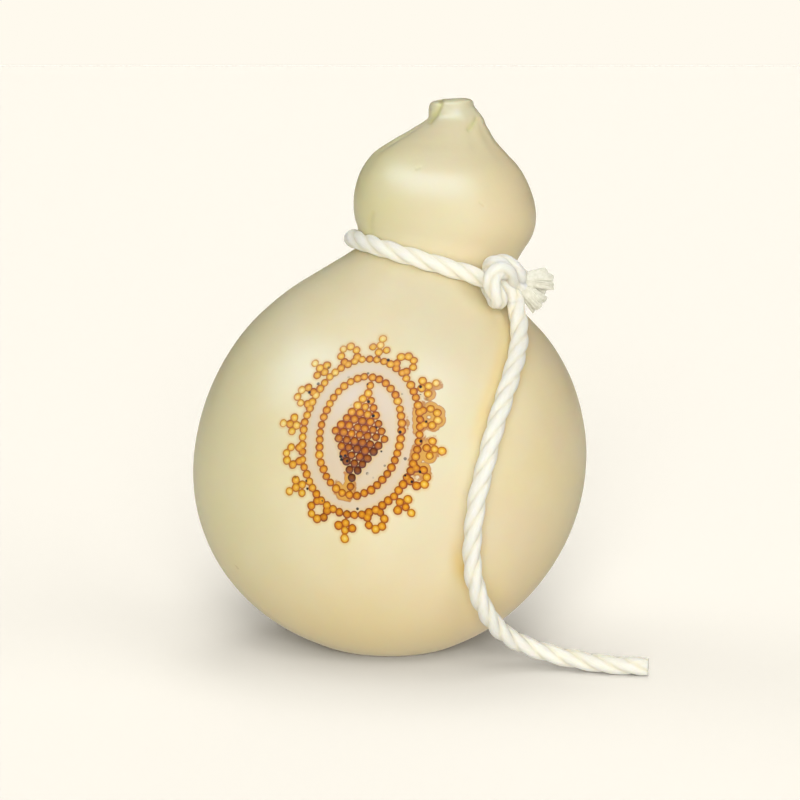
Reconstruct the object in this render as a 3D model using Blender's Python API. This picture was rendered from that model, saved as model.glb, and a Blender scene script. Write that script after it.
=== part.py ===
"""Caciocavallo: a gourd-shaped cheese of stretched curd, tied round its neck with a twisted rope.

Units are metres and +Z is up. The front faces -Y. The origin lies on the table, in the middle of the
small flat spot that the cheese rests on.
"""

import math

import bmesh
import bpy
import numpy as np
from mathutils import Matrix, Vector

MM = 0.001

RIND_COLOUR = (0.80, 0.70, 0.47)
RIND_ROUGHNESS = 0.42
YARN_COLOUR = (0.93, 0.91, 0.83)
YARN_ROUGHNESS = 0.85

# The belly is two half ellipsoids that meet at its widest ring, the lower one cut off by the table.
BELLY_RADIUS = 75.1 * MM
BELLY_HEIGHT = 71.0 * MM
BELLY_DEPTH = 74.0 * MM
BELLY_RINGS = 9
BELLY_LEFT_SAG = 1.2 * MM

# Above the belly the rings shift, shrink and tip: each row is a ring's centre (x, y, z), its radius,
# how far its right side hangs down and how far its front is lifted, in millimetres and degrees.
NECK = (16.6, 0.0, 148.0, 27.3, 16.3, 3.0)
UPPER_RINGS = (
    (2.0, 0.0, 96.6, 70.6, 2.5, 0.2),
    (5.6, 0.0, 115.0, 61.3, 5.8, 0.7),
    (10.1, 0.0, 128.2, 49.9, 9.5, 1.4),
    (14.1, 0.0, 136.3, 40.0, 13.6, 2.3),
    (15.6, 0.0, 143.2, 31.6, 15.8, 2.8),
    NECK,
    (17.5, 0.2, 152.4, 30.0, 13.6, 3.0),
    (19.0, 0.7, 156.6, 31.6, 9.4, 2.6),
    (20.5, 1.2, 161.4, 33.8, 6.0, 2.2),
    (21.0, 1.7, 168.3, 34.6, 4.3, 1.7),
    (20.4, 2.1, 176.1, 33.0, 1.5, 1.2),
    (19.6, 2.4, 183.1, 29.9, 0.0, 0.6),
    (19.2, 2.6, 189.4, 24.7, 0.0, 0.0),
    (20.6, 2.7, 193.9, 19.4, 0.0, 0.0),
    (23.1, 2.8, 198.4, 14.2, 0.0, 0.0),
    (24.6, 2.8, 202.5, 10.1, 0.0, 0.0),
    (23.4, 2.8, 205.7, 8.7, -2.0, 0.0),
    (23.4, 2.8, 208.2, 8.0, -2.5, 0.0),
    (23.9, 2.8, 209.3, 5.4, -2.5, 0.0),
)
STEPS_PER_RING = 2
RING_SIDES = 48

# The rope is one length. Its loop lies in the groove of the neck, at these angles from the right side
# towards the front, and both of its ends run into the knot.
ROPE_RADIUS = 3.5 * MM
ROPE_BEVEL_STEPS = 3
GAP = 0.3 * MM
GAP_ON_SLOPES = 0.5 * MM
LOOP_RADIUS = 31.7 * MM
LOOP_FRONT_ANGLE = 76
LOOP_BACK_ANGLE = 358
LOOP_STEP_ANGLE = 6

# The knot, in millimetres: the long end passes through it and hangs down as the tail, the short end
# comes round the neck, goes over and behind the long end, round its front, and frays.
LONG_END = (
    (33.4, -31.4, 144.6),
    (36.4, -32.4, 143.7),
    (40.0, -32.0, 142.4),
    (43.4, -29.9, 140.4),
    (45.7, -29.4, 137.4),
    (46.6, -30.0, 134.9),
)
SHORT_END = (
    (49.4, -10.5, 140.4),
    (49.9, -19.0, 142.1),
    (48.4, -28.0, 144.2),
    (46.7, -33.0, 146.5),
    (44.3, -35.2, 148.8),
    (41.9, -35.2, 150.2),
    (39.4, -34.4, 150.3),
    (37.5, -32.0, 148.7),
    (36.7, -29.7, 145.6),
    (36.9, -30.2, 142.0),
    (38.1, -33.2, 138.6),
    (39.5, -37.2, 136.5),
    (39.8, -40.8, 137.8),
    (38.5, -42.2, 140.6),
    (37.5, -42.4, 143.5),
    (37.9, -41.6, 146.2),
    (39.9, -40.4, 148.1),
    (42.5, -38.2, 147.8),
    (44.9, -34.0, 145.7),
    (47.0, -29.6, 143.1),
    (49.2, -27.2, 141.2),
)
KNOT_STEP = 1.5 * MM
KNOT_VOXEL = 0.8 * MM
KNOT_FACES_KEPT = 0.16

# The frayed short end opens into two tufts, each row a point and the tuft's radius there.
UPPER_TUFT = (
    (47.6, -28.6, 143.2, 2.6),
    (51.6, -27.6, 143.4, 3.2),
    (55.8, -27.2, 143.6, 3.8),
    (59.4, -27.2, 143.6, 3.2),
)
LOWER_TUFT = (
    (47.6, -28.6, 142.6, 2.6),
    (50.7, -27.6, 139.8, 3.2),
    (53.6, -27.4, 137.0, 3.8),
    (55.8, -27.4, 134.8, 3.2),
)

# The tail, in millimetres: from the knot over the right of the belly, down to the table and along it.
TAIL_ROUTE = (
    (46.6, -30.0, 134.9),
    (47.5, -33.6, 129.2),
    (47.8, -38.6, 124.3),
    (46.9, -45.0, 119.3),
    (44.8, -52.2, 112.8),
    (41.7, -59.4, 104.6),
    (38.7, -64.9, 96.3),
    (36.1, -68.5, 87.8),
    (33.9, -71.0, 79.2),
    (31.7, -72.6, 70.5),
    (30.4, -72.4, 61.4),
    (29.8, -71.5, 54.5),
    (29.7, -70.0, 48.0),
    (30.3, -68.4, 41.0),
    (31.9, -66.0, 34.0),
    (34.4, -62.5, 27.4),
    (37.8, -57.5, 21.1),
    (42.4, -52.3, 15.5),
    (48.1, -48.3, 11.3),
    (55.6, -46.0, 7.9),
    (63.0, -46.0, 5.8),
    (70.3, -47.6, 4.6),
    (77.5, -49.6, 3.9),
    (86.2, -51.6, 3.6),
    (94.9, -52.9, 3.6),
)
TAIL_STEP = 4 * ROPE_RADIUS


def material(name, colour, roughness):
    """A plain non-metallic finish in the part's own colour."""
    made = bpy.data.materials.new(name)
    made.use_nodes = True
    shader = made.node_tree.nodes["Principled BSDF"]
    shader.inputs["Base Color"].default_value = (*colour, 1.0)
    shader.inputs["Roughness"].default_value = roughness
    shader.inputs["Metallic"].default_value = 0.0
    return made


def smooth_rows(rows, knots, places):
    """Rows of numbers read at the given places from one smooth curve through all of them."""
    rows = np.asarray(rows, dtype=float)
    knots = np.asarray(knots, dtype=float)
    slopes = np.gradient(rows, knots, axis=0)
    read = []
    for place in places:
        k = int(np.clip(np.searchsorted(knots, place, side="right") - 1, 0, len(knots) - 2))
        span = knots[k + 1] - knots[k]
        t = (place - knots[k]) / span
        read.append(
            (2 * t**3 - 3 * t**2 + 1) * rows[k]
            + (t**3 - 2 * t**2 + t) * span * slopes[k]
            + (3 * t**2 - 2 * t**3) * rows[k + 1]
            + (t**3 - t**2) * span * slopes[k + 1]
        )
    return read


def cheese_rings():
    """The rings of the whole cheese, from the resting spot up to the top of the nub."""
    floor_angle = math.acos(BELLY_HEIGHT / BELLY_DEPTH)
    rows = []
    for k in range(BELLY_RINGS):
        share = k / (BELLY_RINGS - 1)
        angle = floor_angle + share * (math.pi / 2 - floor_angle)
        rows.append(
            (
                -BELLY_LEFT_SAG / MM * math.sin(share * math.pi),
                0.0,
                (BELLY_HEIGHT - BELLY_DEPTH * math.cos(angle)) / MM,
                BELLY_RADIUS / MM * math.sin(angle),
                0.0,
                0.0,
            )
        )
    rows.extend(UPPER_RINGS)
    steps = np.diff([(row[2], row[3]) for row in rows], axis=0)
    knots = np.concatenate(([0.0], np.cumsum(np.hypot(*steps.T))))
    places = []
    for start, end in zip(knots[:-1], knots[1:]):
        places.extend(start + (end - start) * k / STEPS_PER_RING for k in range(STEPS_PER_RING))
    places.append(knots[-1])
    return smooth_rows(rows, knots, places)


def ring_matrix(row, grow):
    """Where a circle of radius 1 becomes the ring: sized, right side down, front up, then moved."""
    x, y, z, radius, hang, lift = row
    return (
        Matrix.Translation(Vector((x, y, z)) * MM)
        @ Matrix.Rotation(math.radians(hang), 4, "Y")
        @ Matrix.Rotation(math.radians(-lift), 4, "X")
        @ Matrix.Scale(radius * MM + grow, 4)
    )


def cheese_mesh(name, grow=0.0):
    """One ring after another is extruded from the last, and both ends are closed flat."""
    rings = cheese_rings()
    bm = bmesh.new()
    place = ring_matrix(rings[0], grow)
    made = bmesh.ops.create_circle(bm, segments=RING_SIDES, radius=1.0, cap_ends=True, matrix=place)
    ring = made["verts"]
    for row in rings[1:]:
        corners = set(ring)
        rim = [edge for edge in bm.edges if corners.issuperset(edge.verts)]
        grown = bmesh.ops.extrude_edge_only(bm, edges=rim)["geom"]
        ring = [item for item in grown if isinstance(item, bmesh.types.BMVert)]
        next_place = ring_matrix(row, grow)
        bmesh.ops.transform(bm, matrix=next_place @ place.inverted(), verts=ring)
        place = next_place
    bmesh.ops.contextual_create(bm, geom=ring)
    bmesh.ops.recalc_face_normals(bm, faces=bm.faces)
    mesh = bpy.data.meshes.new(name)
    bm.to_mesh(mesh)
    bm.free()
    return mesh


def loop_points():
    """The rope's loop round the neck, from the knot across the front, the left and the back."""
    x, y, z, _, hang, lift = NECK
    place = ring_matrix((x, y, z, LOOP_RADIUS / MM, hang, lift), 0.0)
    points = []
    for degrees in range(LOOP_FRONT_ANGLE, LOOP_BACK_ANGLE + 1, LOOP_STEP_ANGLE):
        angle = math.radians(degrees)
        points.append(place @ Vector((math.cos(angle), -math.sin(angle), 0.0)))
    return points


def smooth_route(route, step):
    """Points about one step apart on one smooth curve through the route's own points."""
    route = np.asarray(route, dtype=float)
    lengths = np.linalg.norm(np.diff(route[:, :3], axis=0), axis=1)
    knots = np.concatenate(([0.0], np.cumsum(lengths)))
    count = max(2, round(knots[-1] / step) + 1)
    return smooth_rows(route, knots, np.linspace(0.0, knots[-1], count))


def in_metres(route):
    return [[number * MM for number in row] for row in route]


def tube_curve(name, routes, radius):
    """A curve with one open spline for each route; a fourth number in a row is the radius there."""
    curve = bpy.data.curves.new(name, "CURVE")
    curve.dimensions = "3D"
    curve.bevel_depth = radius
    curve.bevel_resolution = ROPE_BEVEL_STEPS
    curve.use_fill_caps = True
    for route in routes:
        spline = curve.splines.new("POLY")
        spline.points.add(len(route) - 1)
        for point, row in zip(spline.points, route):
            point.co = (*row[:3], 1.0)
            if len(row) > 3:
                point.radius = row[3] / radius
    return curve


def mesh_of(curve):
    """The closed tubes of a curve, as a mesh."""
    carrier = bpy.data.objects.new("carrier", curve)
    bpy.context.scene.collection.objects.link(carrier)
    bpy.context.view_layer.update()
    depsgraph = bpy.context.evaluated_depsgraph_get()
    mesh = bpy.data.meshes.new_from_object(carrier.evaluated_get(depsgraph))
    bpy.data.objects.remove(carrier, do_unlink=True)
    return mesh


def add_object(name, data, finish):
    made = bpy.data.objects.new(name, data)
    made.data.materials.append(finish)
    bpy.context.scene.collection.objects.link(made)
    return made


def add_guide(name, data, finish):
    """A shape that only cuts or joins another one."""
    made = add_object(name, data, finish)
    made.hide_render = True
    made.display_type = "WIRE"
    return made


def add_boolean(target, operation, tool):
    modifier = target.modifiers.new(tool.name, "BOOLEAN")
    modifier.operation = operation
    modifier.solver = "EXACT"
    modifier.object = tool


def knot_guide(loop, finish):
    """The knot and its frayed end: crossing tubes fused into one closed lump."""
    long_end = smooth_route([loop[1], loop[0], *in_metres(LONG_END)], KNOT_STEP)
    short_end = smooth_route([loop[-2], loop[-1], *in_metres(SHORT_END)], KNOT_STEP)
    tufts = [smooth_route(in_metres(tuft), KNOT_STEP) for tuft in (UPPER_TUFT, LOWER_TUFT)]
    curve = tube_curve("knot_tubes", [long_end, short_end, *tufts], ROPE_RADIUS)
    knot = add_guide("knot_form", mesh_of(curve), finish)
    remesh = knot.modifiers.new("fuse", "REMESH")
    remesh.mode = "VOXEL"
    remesh.voxel_size = KNOT_VOXEL
    thin = knot.modifiers.new("thin", "DECIMATE")
    thin.ratio = KNOT_FACES_KEPT
    return knot


def main():
    for old in list(bpy.data.objects):
        bpy.data.objects.remove(old, do_unlink=True)
    rind = material("waxy rind", RIND_COLOUR, RIND_ROUGHNESS)
    yarn = material("white twisted yarn", YARN_COLOUR, YARN_ROUGHNESS)

    add_object("cheese", cheese_mesh("cheese"), rind)

    tail = smooth_route(in_metres(TAIL_ROUTE), TAIL_STEP)
    add_object("rope_tail", tube_curve("rope_tail", [tail], ROPE_RADIUS), yarn)

    loop = loop_points()
    neck_rope = add_object("neck_rope", mesh_of(tube_curve("loop", [loop], ROPE_RADIUS)), yarn)
    knot = knot_guide(loop, yarn)
    cheese_room = add_guide("cheese_room", cheese_mesh("cheese_room", GAP_ON_SLOPES), yarn)
    tail_start = Vector(tail[0]) - (Vector(tail[1]) - Vector(tail[0])).normalized() * GAP
    wide_tail = tube_curve("tail_room", [[tail_start, *tail[1:]]], ROPE_RADIUS + GAP)
    tail_room = add_guide("tail_room", mesh_of(wide_tail), yarn)
    add_boolean(neck_rope, "UNION", knot)
    add_boolean(neck_rope, "DIFFERENCE", cheese_room)
    add_boolean(neck_rope, "DIFFERENCE", tail_room)


main()
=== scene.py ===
"""Caciocavallo: a waxy gourd-shaped cheese, hung from a white three-strand rope tied round its neck."""

import math

import bmesh
import bpy
import numpy as np
from mathutils import Matrix, Vector
from mathutils.kdtree import KDTree


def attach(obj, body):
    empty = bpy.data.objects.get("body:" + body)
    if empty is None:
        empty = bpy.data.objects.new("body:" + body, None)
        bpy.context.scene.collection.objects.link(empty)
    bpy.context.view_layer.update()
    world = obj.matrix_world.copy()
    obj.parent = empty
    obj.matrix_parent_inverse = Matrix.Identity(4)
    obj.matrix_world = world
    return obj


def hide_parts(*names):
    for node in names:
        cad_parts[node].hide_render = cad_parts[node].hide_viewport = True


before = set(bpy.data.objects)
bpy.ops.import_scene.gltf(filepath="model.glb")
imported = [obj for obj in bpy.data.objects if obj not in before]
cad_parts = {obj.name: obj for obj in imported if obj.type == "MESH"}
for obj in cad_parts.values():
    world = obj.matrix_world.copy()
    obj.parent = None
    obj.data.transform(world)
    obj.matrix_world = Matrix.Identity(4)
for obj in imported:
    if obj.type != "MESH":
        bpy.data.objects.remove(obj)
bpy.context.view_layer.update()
MM = 0.001


# ---- Camera ----------------------------------------------------------------------------------------
# A long lens about a metre in front of the cheese, a little above it, keeps its sides nearly parallel.
CAMERA_LENS = 117.8
CAMERA_AWAY = 1.0
CAMERA_RISE = math.radians(7.5)
CAMERA_AIM = Vector((3.98, 0.0, 95.06)) * MM
SENSOR_WIDTH = 36.0

camera = bpy.data.objects.new("camera", bpy.data.cameras.new("camera"))
camera.data.lens = CAMERA_LENS
camera.data.sensor_width = SENSOR_WIDTH
camera.data.clip_start = 0.05
camera.location = CAMERA_AIM + CAMERA_AWAY * Vector((0.0, -math.cos(CAMERA_RISE), math.sin(CAMERA_RISE)))
camera.rotation_euler = (math.pi / 2 - CAMERA_RISE, 0.0, 0.0)
bpy.context.scene.collection.objects.link(camera)
bpy.context.scene.camera = camera


# ---- Tail of the rope ------------------------------------------------------------------------------
# The rope is one length of white three-strand twisted yarn, 7 mm thick. Its long end leaves the knot,
# hangs down over the right of the belly and runs out over the table, where it is cut square.
# Routes and rings are in millimetres: x to the right, y to the back, z up.
ROPE_RADIUS = 3.5 * MM
STRANDS = 3
STRAND_RADIUS = 0.65 * ROPE_RADIUS
LAY_LENGTH = 30.5 * MM
STRAND_COLUMNS = 24
STRAND_SEAM = 0.001
ROW_STEP = 0.45 * MM
CUT_ROWS = 6
CUT_BULGE = 0.15 * MM
CUT_EDGE_ANGLE = math.radians(70)
YARNS = 7
YARN_RELIEF = 0.14 * MM
YARN_ROUND = 0.45
YARN_TURN = 1.75
UNEVEN = 0.025
SWELL_WAVES = ((7.1 * MM, 2.1), (12.7 * MM, 4.4))
ROPE_WELD = 0.0005 * MM
FIBRE_STRETCH = 0.16
CREAM_YARN = (0.925, 0.885, 0.765)
WHITE_YARN = (0.98, 0.952, 0.865)
# Colour of the painted shade between the strands.
CREVICE_SHADE_YARN = (0.84, 0.785, 0.58)

# A ring: the x, y and z of its middle, its radius, and in degrees how far it hangs down on its right
# and is lifted at its back.
NECK = (16.6, 0.0, 148.0, 27.3, 16.3, 3.0)
LOOP_RADIUS = 31.7 * MM
LOOP_FRONT_ANGLE = 76
LOOP_BACK_ANGLE = 358
LOOP_STEP_ANGLE = 6
TAIL_ROUTE = (
    (46.6, -30.0, 134.9),
    (47.5, -33.6, 129.2),
    (47.8, -38.6, 124.3),
    (46.9, -45.0, 119.3),
    (44.8, -52.2, 112.8),
    (41.7, -59.4, 104.6),
    (38.7, -64.9, 96.3),
    (36.1, -68.5, 87.8),
    (33.9, -71.0, 79.2),
    (31.7, -72.6, 70.5),
    (30.4, -72.4, 61.4),
    (29.8, -71.5, 54.5),
    (29.7, -70.0, 48.0),
    (30.3, -68.4, 41.0),
    (31.9, -66.0, 34.0),
    (34.4, -62.5, 27.4),
    (37.8, -57.5, 21.1),
    (42.4, -52.3, 15.5),
    (48.1, -48.3, 11.3),
    (55.6, -46.0, 7.9),
    (63.0, -46.0, 5.8),
    (70.3, -47.6, 4.6),
    (77.5, -49.6, 3.9),
    (86.2, -51.6, 3.6),
    (94.9, -52.9, 3.6),
)
LONG_END = (
    (33.4, -31.4, 144.6),
    (36.4, -32.4, 143.7),
    (40.0, -32.0, 142.4),
    (43.4, -29.9, 140.4),
    (45.7, -29.4, 137.4),
)
SHORT_END = (
    (49.4, -10.5, 140.4),
    (49.9, -19.0, 142.1),
    (48.4, -28.0, 144.2),
    (46.7, -33.0, 146.5),
    (44.3, -35.2, 148.8),
    (41.9, -35.2, 150.2),
    (39.4, -34.4, 150.3),
    (37.5, -32.0, 148.7),
    (36.7, -29.7, 145.6),
    (36.9, -30.2, 142.0),
    (38.1, -33.2, 138.6),
    (39.5, -37.2, 136.5),
    (39.8, -40.8, 137.8),
    (38.5, -42.2, 140.6),
    (37.5, -42.4, 143.5),
    (37.9, -41.6, 146.2),
    (39.9, -40.4, 148.1),
    (42.5, -38.2, 147.8),
    (44.9, -34.0, 145.7),
    (47.0, -29.6, 143.1),
    (49.2, -27.2, 141.2),
)


class Shade:
    """A socket of a shader that can be used in sums: each operator adds one Math node."""

    def __init__(self, tree, socket=None):
        self.tree = tree
        self.socket = socket

    def node(self, kind, settings, inputs, output=0):
        """A new node of that kind: its settings come first, then its sockets' values and links."""
        made = self.tree.nodes.new(kind)
        for name, value in settings.items():
            setattr(made, name, value)
        for name, value in inputs.items():
            if isinstance(value, Shade):
                self.tree.links.new(value.socket, made.inputs[name])
            else:
                made.inputs[name].default_value = value
        return Shade(self.tree, made.outputs[output])

    def output(self, name):
        """Another output of the node that this socket belongs to."""
        return Shade(self.tree, self.socket.node.outputs[name])

    def into(self, shader, name):
        """This socket's values go into that input of the shader."""
        self.tree.links.new(self.socket, shader.inputs[name])

    def relief_into(self, shader, strength, depth):
        """This socket's values go through a Bump node into the shader's Normal."""
        settings = {"Strength": strength, "Distance": depth, "Height": self}
        self.node("ShaderNodeBump", {}, settings).into(shader, "Normal")

    def math(self, operation, *values):
        """One Math node with those values or sockets."""
        return self.node("ShaderNodeMath", {"operation": operation}, dict(enumerate(values)))

    def mix(self, share, first, second):
        """The first colour where share is 0 and the second where it is 1: inputs 6 and 7 of the node."""
        first, second = (c if isinstance(c, Shade) else (*c, 1.0) for c in (first, second))
        settings = {"data_type": "RGBA", "clamp_factor": True}
        return self.node("ShaderNodeMix", settings, {0: share, 6: first, 7: second}, output=2)

    def ramp(self, colours):
        """Colours spaced evenly over this socket's values from 0 to 1."""
        made = self.node("ShaderNodeValToRGB", {}, {"Fac": self})
        stops = made.socket.node.color_ramp.elements
        for _ in colours[2:]:
            stops.new(0.5)
        for k, (stop, colour) in enumerate(zip(stops, colours)):
            stop.position = k / (len(colours) - 1)
            stop.color = (*colour, 1.0)
        return made

    def band(self, low, high):
        """0 below low and 1 above high, with a soft step between, or the other way round."""
        settings = {"interpolation_type": "SMOOTHSTEP"}
        ends = {"Value": self, "From Min": min(low, high), "From Max": max(low, high)}
        ends.update({"To Min": float(low > high), "To Max": float(low <= high)})
        return self.node("ShaderNodeMapRange", settings, ends)

    def noise(self, place, scale, detail=2.0):
        """Soft cloudy noise from 0 to 1, at that many cells a unit."""
        sizes = {"Vector": place, "Scale": scale, "Detail": detail}
        return self.node("ShaderNodeTexNoise", {}, sizes)

    def attribute(self, name):
        """The numbers that the mesh keeps for each of its points under that name."""
        return self.node("ShaderNodeAttribute", {"attribute_name": name}, {}, output="Fac")

    def __add__(self, other):
        return self.math("ADD", self, other)

    def __sub__(self, other):
        return self.math("SUBTRACT", self, other)

    def __rsub__(self, other):
        return self.math("SUBTRACT", other, self)

    def __mul__(self, other):
        return self.math("MULTIPLY", self, other)

    def __truediv__(self, other):
        return self.math("DIVIDE", self, other)

    __radd__ = __add__
    __rmul__ = __mul__


def new_finish(name, constants):
    """A material with one Principled BSDF, whose even values are set on its own sockets."""
    made = bpy.data.materials.new(name)
    made.use_nodes = True
    shader = made.node_tree.nodes["Principled BSDF"]
    for socket, value in constants.items():
        shader.inputs[socket].default_value = value
    return made, Shade(made.node_tree), shader


def smooth_rows(rows, knots, places):
    """Rows of numbers read at the given places from one smooth curve through all of them."""
    rows = np.asarray(rows, dtype=float)
    slopes = np.gradient(rows, knots, axis=0)
    k = np.clip(np.searchsorted(knots, places, side="right") - 1, 0, len(knots) - 2)
    span = (knots[k + 1] - knots[k])[:, None]
    t = ((places - knots[k])[:, None]) / span
    return (
        (2 * t**3 - 3 * t**2 + 1) * rows[k]
        + (t**3 - 2 * t**2 + t) * span * slopes[k]
        + (3 * t**2 - 2 * t**3) * rows[k + 1]
        + (t**3 - t**2) * span * slopes[k + 1]
    )


def run_along(points):
    """How far along a line of points each of them is."""
    steps = np.linalg.norm(np.diff(np.asarray(points, dtype=float), axis=0), axis=1)
    return np.concatenate(([0.0], np.cumsum(steps)))


def loop_points():
    """The rope's loop round the neck, from the knot across the front, the left and the back."""
    x, y, z, _, hang, lift = NECK
    place = (
        Matrix.Translation(Vector((x, y, z)) * MM)
        @ Matrix.Rotation(math.radians(hang), 4, "Y")
        @ Matrix.Rotation(math.radians(-lift), 4, "X")
    )
    points = []
    for degrees in range(LOOP_FRONT_ANGLE, LOOP_BACK_ANGLE + 1, LOOP_STEP_ANGLE):
        angle = math.radians(degrees)
        points.append(place @ (Vector((math.cos(angle), -math.sin(angle), 0.0)) * LOOP_RADIUS))
    return points


def rope_line():
    """The whole rope's middle line: how far along, its points, two sideways directions and the way
    ahead at each, and how far along the tail ends."""
    given = [
        *(np.array(TAIL_ROUTE[::-1]) * MM),
        *(np.array(LONG_END[::-1]) * MM),
        *np.array(loop_points()),
        *(np.array(SHORT_END) * MM),
    ]
    knots = run_along(given)
    places = np.linspace(0.0, knots[-1], round(knots[-1] / (ROW_STEP / 2)))
    line = smooth_rows(given, knots, places)
    run = run_along(line)
    ahead = np.gradient(line, run, axis=0)
    ahead /= np.linalg.norm(ahead, axis=1)[:, None]
    side = np.array((0.0, 0.0, 1.0))
    sides = []
    for way in ahead:
        side = side - way * (side @ way)
        side /= np.linalg.norm(side)
        sides.append(side)
    tail_length = np.interp(knots[len(TAIL_ROUTE) - 1], places, run)
    return run, line, np.array(sides), np.cross(ahead, sides), ahead, tail_length


def closed_skin(name, bm, weld):
    """The mesh of a bent grid: its edges are joined, its faces look outward and its shading is smooth."""
    bmesh.ops.remove_doubles(bm, verts=bm.verts, dist=weld)
    bmesh.ops.recalc_face_normals(bm, faces=bm.faces)
    mesh = bpy.data.meshes.new(name)
    bm.to_mesh(mesh)
    bm.free()
    mesh.shade_smooth()
    return mesh


def rope_piece(name, start, end):
    """A stretch of the rope: three strands of yarns round one line, closed at both of its ends."""
    rows = round((end - start) / ROW_STEP)
    all_rows = rows + 2 * CUT_ROWS
    hub = ROPE_RADIUS - STRAND_RADIUS
    groove = math.pi / STRANDS
    reach = hub * math.cos(groove) + math.sqrt(STRAND_RADIUS**2 - (hub * math.sin(groove)) ** 2)
    widest = math.atan2(reach * math.sin(groove), reach * math.cos(groove) - hub)

    def wrap(across, up):
        """Points on the rope's skin: across runs round its strands, up along it from 0 to 1."""
        row = up * all_rows - CUT_ROWS
        place = start + np.clip(row / rows, 0.0, 1.0) * (end - start)
        cut = np.clip(np.maximum(-row, row - rows) / CUT_ROWS, 0.0, 1.0)
        strand = np.minimum(np.floor(across * STRANDS), STRANDS - 1)
        share = across * STRANDS - strand
        angle = (2 * share - 1) * widest
        swell = sum(np.sin(place / length + strand * shift) for length, shift in SWELL_WAVES)
        yarn = np.cos(YARNS * (angle + YARN_TURN * 2 * math.pi * place / LAY_LENGTH + strand))
        relief = YARN_RELIEF * (np.sqrt(1 - YARN_ROUND + YARN_ROUND * yarn) - 1)
        thick = STRAND_RADIUS * (1 + UNEVEN * swell / 2) + relief
        at_seam = (share < STRAND_SEAM) | (share > 1 - STRAND_SEAM)
        thick = np.where(at_seam, STRAND_RADIUS, thick)
        out = (1 - cut) * (hub + thick * np.cos(angle))
        over = (1 - cut) * thick * np.sin(angle)
        near_hub = np.hypot(out - hub, over) / STRAND_RADIUS
        bulge = np.where(cut > 0.0, CUT_BULGE * np.maximum(0.0, 1 - near_hub**2), 0.0) * np.sign(row)
        turn = 2 * math.pi * (place / LAY_LENGTH + (strand + 0.5) / STRANDS)
        first = out * np.cos(turn) - over * np.sin(turn)
        second = out * np.sin(turn) + over * np.cos(turn)

        def at(values):
            return np.stack([np.interp(place, rope_run, values[:, i]) for i in range(3)], axis=1)

        return (
            at(rope_points)
            + first[:, None] * at(rope_sides)
            + second[:, None] * at(rope_ups)
            + bulge[:, None] * at(rope_ways)
        )

    bm = bmesh.new()
    bm.loops.layers.uv.new("skin")
    columns = STRANDS * STRAND_COLUMNS
    bmesh.ops.create_grid(bm, x_segments=columns, y_segments=all_rows, size=0.5, calc_uvs=True)
    flat = np.array([vert.co for vert in bm.verts]) + 0.5
    for vert, point in zip(bm.verts, wrap(flat[:, 0], flat[:, 1])):
        vert.co = point
    mesh = closed_skin(name, bm, ROPE_WELD)
    mesh.set_sharp_from_angle(angle=CUT_EDGE_ANGLE)
    uvs = np.empty(2 * len(mesh.loops))
    mesh.uv_layers["skin"].data.foreach_get("uv", uvs)
    uvs[1::2] = (uvs[1::2] * all_rows - CUT_ROWS) * ROW_STEP / (2 * math.pi * ROPE_RADIUS)
    mesh.uv_layers["skin"].data.foreach_set("uv", uvs)
    return mesh


def show(name, mesh, finish):
    """A piece of the object, made from its mesh and its finish."""
    made = bpy.data.objects.new(name, mesh)
    mesh.materials.append(finish)
    bpy.context.scene.collection.objects.link(made)
    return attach(made, "root")


def yarn_finish():
    """White yarn: fine fibres along the rope, creamy, with painted shade between the strands."""
    constants = {
        "Roughness": 0.82,
        "IOR": 1.45,
        "Specular IOR Level": 0.2,
        "Sheen Weight": 0.15,
        "Sheen Roughness": 0.5,
        "Subsurface Weight": 0.6,
        "Subsurface Scale": 1.8 * MM,
        "Subsurface Radius": (1.0, 0.85, 0.6),
    }
    made, shade, shader = new_finish("white twisted yarn", constants)
    skin = shade.node("ShaderNodeUVMap", {"uv_map": "skin"}, {})
    parts = shade.node("ShaderNodeSeparateXYZ", {}, {"Vector": skin})
    along = parts.output("Y")
    lobe = shade.math("FRACT", parts * STRANDS)
    slant = parts * STRANDS + along * (2 * math.pi * ROPE_RADIUS / LAY_LENGTH * YARN_TURN)
    fibre = shade.node("ShaderNodeCombineXYZ", {}, {"X": slant, "Y": along * FIBRE_STRETCH})
    fine = shade.noise(fibre, 46.0, detail=3.0)
    coarse = shade.noise(fibre, 13.0)
    edge = shade.math("ABSOLUTE", lobe - 0.5) * 2
    # Painted shade in the crevices between the strands.
    crevice_shade = edge.band(0.5, 1.0)
    streaks = shade.mix(fine.band(0.3, 0.7), CREAM_YARN, WHITE_YARN)
    shade.mix(crevice_shade * 0.5, streaks, CREVICE_SHADE_YARN).into(shader, "Base Color")
    (fine * 0.6 + coarse * 0.4).relief_into(shader, 0.5, 0.25 * MM)
    return made


rope_run, rope_points, rope_sides, rope_ups, rope_ways, tail_length = rope_line()
twisted_yarn = yarn_finish()
tail = show("rope_tail_twisted", rope_piece("rope_tail_twisted", 0.0, tail_length), twisted_yarn)
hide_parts("rope_tail")
on_tail = rope_run <= tail_length


# ---- Loop and knot ---------------------------------------------------------------------------------
# The same rope lies in the groove of the neck. Its short end comes round from behind, goes over and
# under the long end and round its front, and is pulled tight into a knot on the right.
loop_mesh = rope_piece("rope_loop_and_knot", tail_length, rope_run[-1])
knotted = show("rope_loop_and_knot", loop_mesh, twisted_yarn)
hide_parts("neck_rope")


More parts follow.
